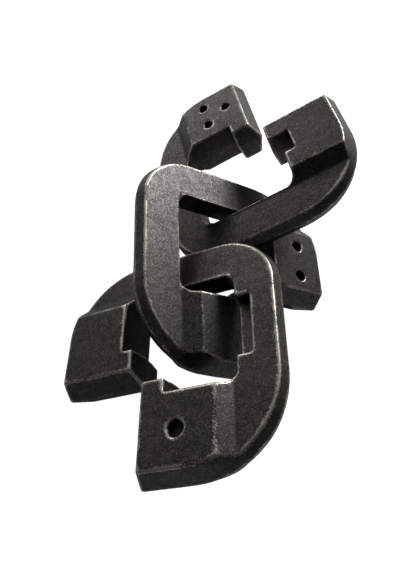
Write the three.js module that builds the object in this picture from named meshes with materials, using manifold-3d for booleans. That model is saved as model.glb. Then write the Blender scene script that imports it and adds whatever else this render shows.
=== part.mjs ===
// Three cast metal links of a take-apart chain puzzle, lying looped through each other on a table.
// Millimetres, +Z up. The origin is the middle of the footprint, on the table.
import * as THREE from "three";
import { mergeVertices } from "three/addons/utils/BufferGeometryUtils.js";
import Module from "manifold-3d";

const wasm = await Module();
wasm.setup();

// Thickness. The middle plane is the parting plane of the casting. Every wall leans back from it
// towards the two faces: the outer walls and the ends a good deal, the walls of the opening a little.
const BLOCK_THICK = 8.8;
const BAR_THICK = 4.4;
const OUTER_DRAFT = 1.5; // how far a wall leans, from the parting plane to a block's face
const INNER_DRAFT = 0.3;
const SEAM = 0.3; // height of the straight band on the parting plane

// Outline on a block's face, in the link's own frame: x across, y along, z through it.
// The foot block is along the bottom, the side block is on the left, and the corner between
// them is open. The bars are the right side and the top.
const OUT_LEFT = -18.6;
const OUT_RIGHT = 17.9;
const OUT_BOTTOM = -19.05;
const OUT_TOP = 18.4;
const IN_LEFT = -7.35;
const IN_RIGHT = 12.1;
const IN_BOTTOM = -7.5;
const IN_TOP = 12.45;
const FOOT_END = -3.1; // x where the foot block stops
const SIDE_END = -2.65; // y where the side block stops
const FOOT_TOOTH = { length: 3.8, height: 2.3 };
const SIDE_TOOTH = { length: 3.75, height: 1.9 };
const ROUND_FOOT = 13.6; // outer corner by the foot block
const ROUND_BARS = 8.4; // outer corner between the two bars
const ROUND_SIDE = 12.8; // outer corner by the side block
const ROUND_INNER = 2.5; // the three whole inner corners

// A block's face slopes down to the bars' face over these stretches.
const FOOT_RAMP = { top: 9.3, foot: 11.7 };
const SIDE_RAMP = { top: 10.2, foot: 12.6 };

// What differs from link to link.
const SIDE_NOTCH = { to: 6.1, depth: 2.2 }; // three-dot link: in its side block, from the tooth on
const BAR_REBATE = { from: -2.7, to: 7.8, wall: 14.5, ledge: -0.5 }; // one-dot link: in its bar
const DOT_DEPTH = 1.4;
const DOT_TAPER = 0.7; // a dot's floor, as a share of its mouth
const DOT_SIDES = 20;
const CURVE_STEPS = 7; // straight edges in each outer corner

const FINISH = { color: 0x4a4744, roughness: 0.42, metalness: 0.9 };
const BIG = 60; // larger than a link in every direction
const OVER = 1; // how far a cut runs past the face it opens

// Turns a section's x, y and depth into the link's y, z and x.
const CROSSWISE = new THREE.Matrix4().makeBasis(
  new THREE.Vector3(0, 1, 0),
  new THREE.Vector3(0, 0, 1),
  new THREE.Vector3(1, 0, 0),
);

// The three links: the dots on their block faces, and how they lie. at is the link's middle, seen
// from above; each link's lowest point is on the table. A turn is about x, then y, then z, in degrees.
const ONE_DOT = {
  name: "link_one_dot",
  dots: [{ x: 3.0, y: -13.4, across: 2.8 }],
  barRebate: BAR_REBATE,
  at: [-7.55, -21.5],
  turn: [-12.2, -31.7, 6.0],
};
const TWO_DOTS = {
  name: "link_two_dots",
  dots: [{ x: -13.4, y: 0.4, across: 2.3 }, { x: -13.4, y: 6.8, across: 2.3 }],
  mirrored: true,
  at: [2.6, -3.45],
  turn: [-1.7, 24.9, 2.0],
};
const THREE_DOTS = {
  name: "link_three_dots",
  dots: [
    { x: 4.6, y: -16.1, across: 2.0 },
    { x: 0.0, y: -13.4, across: 2.0 },
    { x: 4.6, y: -10.9, across: 2.0 },
  ],
  notch: SIDE_NOTCH,
  at: [6.45, 21.3],
  turn: [12.7, 30.0, -161.5],
};

function solidOf(geometry) {
  geometry.deleteAttribute("normal");
  geometry.deleteAttribute("uv");
  const merged = mergeVertices(geometry, 1e-4);
  const vertProperties = new Float32Array(merged.attributes.position.array);
  const triVerts = new Uint32Array(merged.index.array);
  return new wasm.Manifold(new wasm.Mesh({ numProp: 3, vertProperties, triVerts }));
}

function geometryOf(solid) {
  const mesh = solid.getMesh();
  const geometry = new THREE.BufferGeometry();
  geometry.setAttribute("position", new THREE.BufferAttribute(new Float32Array(mesh.vertProperties), 3));
  geometry.setIndex(new THREE.BufferAttribute(new Uint32Array(mesh.triVerts), 1));
  geometry.computeVertexNormals();
  return geometry;
}

// The outside of a link on its block face, with the open corner, but with the opening filled.
function outside() {
  const shape = new THREE.Shape();
  shape.moveTo(FOOT_END, OUT_BOTTOM);
  shape.lineTo(OUT_RIGHT - ROUND_FOOT, OUT_BOTTOM);
  shape.absarc(OUT_RIGHT - ROUND_FOOT, OUT_BOTTOM + ROUND_FOOT, ROUND_FOOT, -Math.PI / 2, 0);
  shape.lineTo(OUT_RIGHT, OUT_TOP - ROUND_BARS);
  shape.absarc(OUT_RIGHT - ROUND_BARS, OUT_TOP - ROUND_BARS, ROUND_BARS, 0, Math.PI / 2);
  shape.lineTo(OUT_LEFT + ROUND_SIDE, OUT_TOP);
  shape.absarc(OUT_LEFT + ROUND_SIDE, OUT_TOP - ROUND_SIDE, ROUND_SIDE, Math.PI / 2, Math.PI);
  shape.lineTo(OUT_LEFT, SIDE_END);
  shape.lineTo(FOOT_END, SIDE_END);
  shape.closePath();
  return shape;
}

// The opening, between the two teeth and round to the bars. A notch, if given, steps into the
// side block behind its tooth.
function opening(notch) {
  const toothBack = IN_LEFT + SIDE_TOOTH.height;
  const toothTop = SIDE_END + SIDE_TOOTH.length;
  const shape = new THREE.Shape();
  shape.moveTo(toothBack, IN_BOTTOM + FOOT_TOOTH.height);
  shape.lineTo(FOOT_END + FOOT_TOOTH.length, IN_BOTTOM + FOOT_TOOTH.height);
  shape.lineTo(FOOT_END + FOOT_TOOTH.length, IN_BOTTOM);
  shape.lineTo(IN_RIGHT - ROUND_INNER, IN_BOTTOM);
  shape.absarc(IN_RIGHT - ROUND_INNER, IN_BOTTOM + ROUND_INNER, ROUND_INNER, -Math.PI / 2, 0);
  shape.lineTo(IN_RIGHT, IN_TOP - ROUND_INNER);
  shape.absarc(IN_RIGHT - ROUND_INNER, IN_TOP - ROUND_INNER, ROUND_INNER, 0, Math.PI / 2);
  shape.lineTo(IN_LEFT + ROUND_INNER, IN_TOP);
  shape.absarc(IN_LEFT + ROUND_INNER, IN_TOP - ROUND_INNER, ROUND_INNER, Math.PI / 2, Math.PI);
  if (notch) {
    shape.lineTo(IN_LEFT, notch.to);
    shape.lineTo(IN_LEFT - notch.depth, notch.to);
    shape.lineTo(IN_LEFT - notch.depth, toothTop);
  } else {
    shape.lineTo(IN_LEFT, toothTop);
  }
  shape.lineTo(toothBack, toothTop);
  shape.closePath();
  return shape;
}

// A prism whose sides lean from the middle plane, where it is wider by lean than the shape that it
// has on a block's face. It runs on past the face by extra.
function leaning(shape, lean, extra) {
  const rise = (BLOCK_THICK - SEAM) / 2;
  const onwards = (lean / rise) * extra;
  const geometry = new THREE.ExtrudeGeometry(shape, {
    depth: SEAM,
    bevelThickness: rise + extra,
    bevelSize: lean + onwards,
    bevelOffset: -onwards,
    bevelSegments: 1,
    curveSegments: CURVE_STEPS,
  });
  geometry.translate(0, 0, -SEAM / 2);
  return solidOf(geometry);
}

// The whole C at block thickness.
function castBody(notch) {
  return leaning(outside(), OUTER_DRAFT, 0).subtract(leaning(opening(notch), -INNER_DRAFT, OVER));
}

// The room over a thin bar: a long prism, with a slope where it meets the block's face. side is 1
// for the front of the link and -1 for the back.
function aboveRamp(ramp, side) {
  const slope = (ramp.foot - ramp.top) / (BLOCK_THICK / 2 - BAR_THICK / 2);
  const section = new THREE.Shape();
  section.moveTo(ramp.foot, side * BAR_THICK / 2);
  section.lineTo(BIG, side * BAR_THICK / 2);
  section.lineTo(BIG, side * (BLOCK_THICK / 2 + OVER));
  section.lineTo(ramp.top - slope * OVER, side * (BLOCK_THICK / 2 + OVER));
  section.closePath();
  const geometry = new THREE.ExtrudeGeometry(section, { depth: 2 * BIG, bevelEnabled: false });
  geometry.translate(0, 0, -BIG);
  return geometry;
}

// What has to go from one side of the link, to leave its two bars thinner than its blocks.
function aboveBars(side) {
  const pastFoot = aboveRamp(FOOT_RAMP, side);
  pastFoot.rotateX(Math.PI / 2);
  const pastSide = aboveRamp(SIDE_RAMP, side);
  pastSide.applyMatrix4(CROSSWISE);
  return solidOf(pastFoot).add(solidOf(pastSide));
}

// A tapered blind dimple in a block's front face.
function dot({ x, y, across }) {
  const mouth = across / 2;
  const widening = (mouth - mouth * DOT_TAPER) / DOT_DEPTH;
  const profile = [
    new THREE.Vector2(0, -DOT_DEPTH),
    new THREE.Vector2(mouth * DOT_TAPER, -DOT_DEPTH),
    new THREE.Vector2(mouth + widening * OVER, OVER),
    new THREE.Vector2(0, OVER),
  ];
  const geometry = new THREE.LatheGeometry(profile, DOT_SIDES);
  geometry.rotateX(Math.PI / 2);
  geometry.translate(x, y, BLOCK_THICK / 2);
  return solidOf(geometry);
}

// The rebate in the right bar's inner edge, which leaves a thin ledge behind it.
function rebate({ from, to, wall, ledge }) {
  const reach = wall - IN_RIGHT + INNER_DRAFT + OVER;
  const top = BLOCK_THICK;
  const geometry = new THREE.BoxGeometry(reach, to - from, top - ledge);
  geometry.translate(wall - reach / 2, (from + to) / 2, (top + ledge) / 2);
  return solidOf(geometry);
}

function link({ name, dots, notch, barRebate, mirrored, at, turn }) {
  let solid = castBody(notch).subtract(aboveBars(1)).subtract(aboveBars(-1));
  if (barRebate) solid = solid.subtract(rebate(barRebate));
  for (const each of dots) solid = solid.subtract(dot(each));
  const mesh = new THREE.Mesh(geometryOf(solid), new THREE.MeshStandardMaterial(FINISH));
  mesh.name = name;
  mesh.scale.x = mirrored ? -1 : 1;
  mesh.rotation.set(...turn.map(THREE.MathUtils.degToRad), "ZYX");
  mesh.position.set(at[0], at[1], -boxOf(mesh).min.z);
  return mesh;
}

function boxOf(object) {
  object.updateMatrixWorld(true);
  return new THREE.Box3().setFromObject(object, true);
}

const group = new THREE.Group();
group.add(link(ONE_DOT));
group.add(link(TWO_DOTS));
group.add(link(THREE_DOTS));
const middle = boxOf(group).getCenter(new THREE.Vector3());
group.position.set(-middle.x, -middle.y, 0);

export default group;
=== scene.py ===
import math

import bpy
import numpy as np
from mathutils import Euler, Matrix, Vector, noise


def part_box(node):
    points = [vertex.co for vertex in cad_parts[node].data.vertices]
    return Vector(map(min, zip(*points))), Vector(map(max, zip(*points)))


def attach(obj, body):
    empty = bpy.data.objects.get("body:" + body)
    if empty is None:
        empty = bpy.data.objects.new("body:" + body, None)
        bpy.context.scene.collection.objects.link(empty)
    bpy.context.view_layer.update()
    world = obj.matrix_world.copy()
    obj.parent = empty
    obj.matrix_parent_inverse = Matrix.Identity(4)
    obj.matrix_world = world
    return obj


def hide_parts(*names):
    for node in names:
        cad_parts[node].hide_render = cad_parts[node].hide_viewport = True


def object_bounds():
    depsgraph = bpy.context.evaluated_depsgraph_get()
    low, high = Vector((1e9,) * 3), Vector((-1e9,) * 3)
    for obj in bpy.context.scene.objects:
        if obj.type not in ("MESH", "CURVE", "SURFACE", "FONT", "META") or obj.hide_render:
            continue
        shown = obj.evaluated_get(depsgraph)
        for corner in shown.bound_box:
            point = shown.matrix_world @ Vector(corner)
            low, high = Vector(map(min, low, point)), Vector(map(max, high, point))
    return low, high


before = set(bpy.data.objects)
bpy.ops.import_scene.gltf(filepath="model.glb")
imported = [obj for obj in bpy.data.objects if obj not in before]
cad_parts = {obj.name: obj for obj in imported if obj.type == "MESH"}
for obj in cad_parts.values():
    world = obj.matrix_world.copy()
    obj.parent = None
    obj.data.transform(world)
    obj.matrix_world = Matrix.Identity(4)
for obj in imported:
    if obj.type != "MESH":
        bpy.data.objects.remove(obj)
cad_low, cad_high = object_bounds()

MM = 0.001

# The camera looks steeply down on the links, from a hand's breadth away.
CAMERA_AT = (-11.96, -45.77, 98.7)  # mm
CAMERA_TURN = (23.8, -7.0, 0.6)  # degrees about X, Y and Z
LENS = 45.55
SENSOR = 36.0

# How each link is turned from its own frame, in degrees about X, then Y, then Z.
# In its own frame a link's faces look along z and its bars run along x and y.
TURNS = {
    "link_one_dot": (-12.2, -31.7, 6.0),
    "link_two_dots": (-1.7, 24.9, 2.0),
    "link_three_dots": (12.7, 30.0, -161.5),
}
BODIES = {
    "link_one_dot": "one_dot",
    "link_two_dots": "two_dots",
    "link_three_dots": "three_dots",
}

# The cast surface, in millimetres.
VOXEL = 0.20  # size of a face on the fine mesh
ROUND_STEPS = 4  # smoothing passes that round the edges
SPREAD_STEPS = 5  # passes over which an edge or a hollow is felt
EDGE_POWER = 0.75  # below 1, so that blunt edges are felt too
SEAM_PROUD = 0.16  # the parting line stands out this far
SEAM_HALF = 0.28
SEAM_STEEPNESS = 1.5  # how steep a wall has to be before the parting line shows on it
SEAM_GROOVE = 0.16  # depth of the shallow grooves on each side of it
GROOVE_AT = 0.75  # how far each groove lies from the parting line
GROOVE_HALF = 0.26
SEAM_RUB = 0.35  # how far the parting line is rubbed bright, beside a sharp edge
GRAIN = 0.010  # depth of the casting's grain
GRAIN_SIZE = 0.40
WAVE = 0.03  # depth of the slow unevenness of the faces
WAVE_SIZE = 5.0

# The colours of the surface, as linear red, green and blue.
PATINA_DARK = (0.038, 0.0368, 0.0360)
PATINA_PALE = (0.060, 0.0568, 0.0545)
GRAIN_DARK = (0.020, 0.0196, 0.0192)
GRAIN_PALE = (0.118, 0.110, 0.105)
SPECK = (0.19, 0.18, 0.168)
HOLLOW = (0.012, 0.012, 0.012)
RUBBED = (0.52, 0.475, 0.42)

# The room and the table.
FLOOR_SIZE = 4.0  # metres
FLOOR_GLOW = 0.97  # lifts the table to near white, as bright paper looks in a photograph
FRONT_OF_ROOM = (0.05, 0.05, 0.05)
BACK_OF_ROOM = (0.50, 0.50, 0.50)


def link_turn(name):
    return Euler([math.radians(a) for a in TURNS[name]], "XYZ").to_matrix()


def fine_mesh(name):
    """The link as an even grid of small faces, in its own frame and in millimetres."""
    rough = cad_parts[name].data.copy()
    rough.transform(link_turn(name).inverted().to_4x4() @ Matrix.Scale(1 / MM, 4))
    holder = bpy.data.objects.new("rough_" + name, rough)
    bpy.context.scene.collection.objects.link(holder)
    remesh = holder.modifiers.new("even", "REMESH")
    remesh.mode = "VOXEL"
    remesh.voxel_size = VOXEL
    depsgraph = bpy.context.evaluated_depsgraph_get()
    fine = bpy.data.meshes.new_from_object(holder.evaluated_get(depsgraph))
    bpy.data.objects.remove(holder)
    return fine


def points_of(mesh):
    co = np.zeros(len(mesh.vertices) * 3)
    mesh.vertices.foreach_get("co", co)
    return co.reshape(-1, 3)


def normals_of(mesh):
    out = np.zeros(len(mesh.vertices) * 3)
    mesh.vertices.foreach_get("normal", out)
    return out.reshape(-1, 3)


def set_points(mesh, points):
    mesh.vertices.foreach_set("co", points.ravel())
    mesh.update()


def edges_of(mesh):
    ends = np.zeros(len(mesh.edges) * 2, int)
    mesh.edges.foreach_get("vertices", ends)
    return ends.reshape(-1, 2)


def smoothed(values, ends, steps, share=0.6):
    """Each value moved towards the mean of its neighbours, over and over."""
    count = np.bincount(ends.ravel(), minlength=len(values)).astype(float)
    values = values.copy()
    flat = values.ndim == 1
    if flat:
        values = values[:, None]
    for _ in range(steps):
        total = np.zeros_like(values)
        for axis in range(values.shape[1]):
            total[:, axis] = np.bincount(ends[:, 0], values[ends[:, 1], axis], len(values))
            total[:, axis] += np.bincount(ends[:, 1], values[ends[:, 0], axis], len(values))
        values += share * (total / count[:, None] - values)
    return values[:, 0] if flat else values


def add_attribute(mesh, name, values):
    attribute = mesh.attributes.new(name, "FLOAT", "POINT")
    attribute.data.foreach_set("value", values.astype(np.float32))


def seam_lift(points, normals):
    """The parting line: a low ridge on the middle plane, between two shallow grooves."""
    wall = 1 - np.clip(np.abs(normals[:, 2]) * SEAM_STEEPNESS, 0, 1)
    ridge = np.exp(-((points[:, 2] / SEAM_HALF) ** 2))
    grooves = np.exp(-(((np.abs(points[:, 2]) - GROOVE_AT) / GROOVE_HALF) ** 2))
    return wall * (SEAM_PROUD * ridge - SEAM_GROOVE * grooves)


def grain_lift(points, seed):
    shift = Vector((seed * 17.3, seed * 5.1, seed * 9.7))
    lift = np.empty(len(points))
    for i, point in enumerate(points):
        place = Vector(point) + shift
        fine = noise.fractal(place / GRAIN_SIZE, 0.7, 2.1, 2)
        slow = noise.noise(place / WAVE_SIZE)
        lift[i] = GRAIN * fine + WAVE * slow
    return lift


def cast_link(name, seed):
    mesh = fine_mesh(name)
    ends = edges_of(mesh)
    points = smoothed(points_of(mesh), ends, ROUND_STEPS)
    set_points(mesh, points)
    normals = normals_of(mesh)
    wide = smoothed(points, ends, SPREAD_STEPS)
    bulge = smoothed(np.einsum("ij,ij->i", points - wide, normals), ends, 4)
    seam = seam_lift(points, normals)
    lift = seam + grain_lift(points, seed)
    set_points(mesh, points + normals * lift[:, None])
    sharpest = np.percentile(bulge, 99)
    rubbed = np.clip(bulge / sharpest, 0, None) ** EDGE_POWER
    add_attribute(mesh, "edge", rubbed + SEAM_RUB * np.clip(seam / SEAM_PROUD, 0, 1))
    add_attribute(mesh, "hollow", np.clip(-smoothed(bulge, ends, 4) / sharpest, 0, None))
    mesh.transform(Matrix.Scale(MM, 4) @ link_turn(name).to_4x4())
    low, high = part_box(name)
    set_points(mesh, np.clip(points_of(mesh), low, high))
    mesh.polygons.foreach_set("use_smooth", [True] * len(mesh.polygons))
    link = bpy.data.objects.new("cast_" + name, mesh)
    bpy.context.scene.collection.objects.link(link)
    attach(link, BODIES[name])
    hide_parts(name)
    return link


class Nodes:
    """Short names for making a material's nodes."""

    def __init__(self, tree):
        self.tree = tree

    def add(self, kind, **settings):
        node = self.tree.nodes.new(kind)
        for key, value in settings.items():
            setattr(node, key, value)
        return node

    def join(self, output, socket):
        self.tree.links.new(output, socket)

    def noise(self, where, scale, detail=2.0, rough=0.5):
        node = self.add("ShaderNodeTexNoise")
        node.inputs["Scale"].default_value = scale
        node.inputs["Detail"].default_value = detail
        node.inputs["Roughness"].default_value = rough
        self.join(where, node.inputs["Vector"])
        return node.outputs["Fac"]

    def maths(self, operation, *values):
        node = self.add("ShaderNodeMath", operation=operation)
        for socket, value in zip(node.inputs, values):
            if isinstance(value, (int, float)):
                socket.default_value = value
            else:
                self.join(value, socket)
        return node.outputs[0]

    def span(self, value, low, high, to_low=0.0, to_high=1.0):
        node = self.add("ShaderNodeMapRange", interpolation_type="SMOOTHSTEP")
        for socket, number in zip(node.inputs[1:5], (low, high, to_low, to_high)):
            socket.default_value = number
        self.join(value, node.inputs[0])
        return node.outputs[0]

    def blend(self, share, first, second):
        node = self.add("ShaderNodeMix", data_type="RGBA")
        if isinstance(share, (int, float)):
            node.inputs[0].default_value = share
        else:
            self.join(share, node.inputs[0])
        for socket, value in zip((node.inputs[6], node.inputs[7]), (first, second)):
            if isinstance(value, tuple):
                socket.default_value = (*value, 1)
            else:
                self.join(value, socket)
        return node.outputs[2]

    def attribute(self, name):
        return self.add("ShaderNodeAttribute", attribute_name=name).outputs["Fac"]


def blackened_zinc():
    """Dark patina over a cast surface, rubbed through to pale metal along the edges."""
    material = bpy.data.materials.new("blackened_zinc")
    material.use_nodes = True
    n = Nodes(material.node_tree)
    shader = material.node_tree.nodes["Principled BSDF"]
    where = n.add("ShaderNodeTexCoord").outputs["Object"]
    speck = n.noise(where, 4200, 3, 0.65)
    mottle = n.noise(where, 900, 3, 0.6)
    cloud = n.noise(where, 130, 2, 0.5)
    patchy = n.noise(where, 420, 3, 0.6)

    tone = n.maths("ADD", n.maths("MULTIPLY", speck, 0.6), n.maths("MULTIPLY", mottle, 0.4))
    dark = n.blend(n.span(cloud, 0.35, 0.65), PATINA_DARK, PATINA_PALE)
    grain = n.blend(n.span(tone, 0.36, 0.66), GRAIN_DARK, GRAIN_PALE)
    patina = n.blend(0.55, dark, grain)
    patina = n.blend(n.span(speck, 0.54, 0.72), patina, SPECK)
    hollow = n.span(n.attribute("hollow"), 0.1, 0.8)
    patina = n.blend(hollow, patina, HOLLOW)

    rub = n.maths("MULTIPLY_ADD", n.maths("SUBTRACT", speck, 0.5), 1.5, n.attribute("edge"))
    rub = n.maths("MULTIPLY_ADD", n.maths("SUBTRACT", patchy, 0.5), 0.9, rub)
    worn = n.span(rub, 0.44, 0.86)
    colour = n.blend(worn, patina, RUBBED)
    n.join(colour, shader.inputs["Base Color"])

    shine = n.span(tone, 0.3, 0.7, 0.46, 0.34)
    n.join(n.maths("MULTIPLY_ADD", worn, -0.08, shine), shader.inputs["Roughness"])
    shader.inputs["Metallic"].default_value = 0.85

    pits = n.add("ShaderNodeTexVoronoi")
    pits.inputs["Scale"].default_value = 2600
    n.join(where, pits.inputs["Vector"])
    height = n.maths("MULTIPLY_ADD", pits.outputs["Distance"], 0.4, tone)
    bump = n.add("ShaderNodeBump")
    bump.inputs["Strength"].default_value = 0.35
    bump.inputs["Distance"].default_value = 0.00006
    n.join(height, bump.inputs["Height"])
    n.join(bump.outputs[0], shader.inputs["Normal"])
    return material


def pale_floor(size):
    mesh = bpy.data.meshes.new("floor")
    half = size / 2
    corners = [(-half, -half, 0), (half, -half, 0), (half, half, 0), (-half, half, 0)]
    mesh.from_pydata(corners, [], [(0, 1, 2, 3)])
    floor = bpy.data.objects.new("floor", mesh)
    bpy.context.scene.collection.objects.link(floor)
    material = bpy.data.materials.new("pale_floor")
    material.use_nodes = True
    n = Nodes(material.node_tree)
    shader = material.node_tree.nodes["Principled BSDF"]
    shader.inputs["Base Color"].default_value = (0.8, 0.8, 0.8, 1)
    shader.inputs["Roughness"].default_value = 0.9
    glow = n.add("ShaderNodeEmission")
    glow.inputs["Strength"].default_value = FLOOR_GLOW
    both = n.add("ShaderNodeAddShader")
    n.join(shader.outputs[0], both.inputs[0])
    n.join(glow.outputs[0], both.inputs[1])
    seen = n.add("ShaderNodeMixShader")
    n.join(n.add("ShaderNodeLightPath").outputs["Is Camera Ray"], seen.inputs[0])
    n.join(shader.outputs[0], seen.inputs[1])
    n.join(both.outputs[0], seen.inputs[2])
    n.join(seen.outputs[0], material.node_tree.nodes["Material Output"].inputs["Surface"])
    mesh.materials.append(material)


def softbox(name, towards, distance, size, watts):
    """A square soft light, seen from the links in the direction towards, and facing them."""
    middle = (cad_low + cad_high) / 2
    data = bpy.data.lights.new(name, "AREA")
    data.shape = "SQUARE"
    data.size = size
    data.energy = watts
    light = bpy.data.objects.new(name, data)
    light.location = middle + Vector(towards).normalized() * distance
    light.rotation_euler = (light.location - middle).to_track_quat("Z", "Y").to_euler()
    bpy.context.scene.collection.objects.link(light)


def studio():
    """A dim pale room, lit low from behind the links, so that what faces the viewer stays dark."""
    world = bpy.data.worlds.new("studio")
    world.use_nodes = True
    n = Nodes(world.node_tree)
    back = world.node_tree.nodes["Background"]
    where = n.add("ShaderNodeTexCoord").outputs["Generated"]
    along = n.add("ShaderNodeSeparateXYZ")
    n.join(where, along.inputs[0])
    depth = n.span(along.outputs["Y"], -0.2, 0.8)
    n.join(n.blend(depth, FRONT_OF_ROOM, BACK_OF_ROOM), back.inputs["Color"])
    back.inputs["Strength"].default_value = 1.0
    bpy.context.scene.world = world
    softbox("key_softbox", (0.50, 0.78, 0.42), 0.5, 0.18, 1.6)
    softbox("side_softbox", (-0.45, 0.88, 0.08), 0.6, 0.30, 0.85)


def camera():
    data = bpy.data.cameras.new("camera")
    data.lens = LENS
    data.sensor_width = SENSOR
    data.sensor_fit = "HORIZONTAL"
    data.clip_start = 0.005
    data.clip_end = 10
    view = bpy.data.objects.new("camera", data)
    view.location = Vector(CAMERA_AT) * MM
    view.rotation_euler = Euler([math.radians(a) for a in CAMERA_TURN], "XYZ")
    bpy.context.scene.collection.objects.link(view)
    bpy.context.scene.camera = view


camera()
studio()
pale_floor(FLOOR_SIZE)
finish = blackened_zinc()
for seed, name in enumerate(TURNS):
    link = cast_link(name, seed)
    link.data.materials.clear()
    link.data.materials.append(finish)

bpy.context.scene.view_settings.view_transform = "Standard"
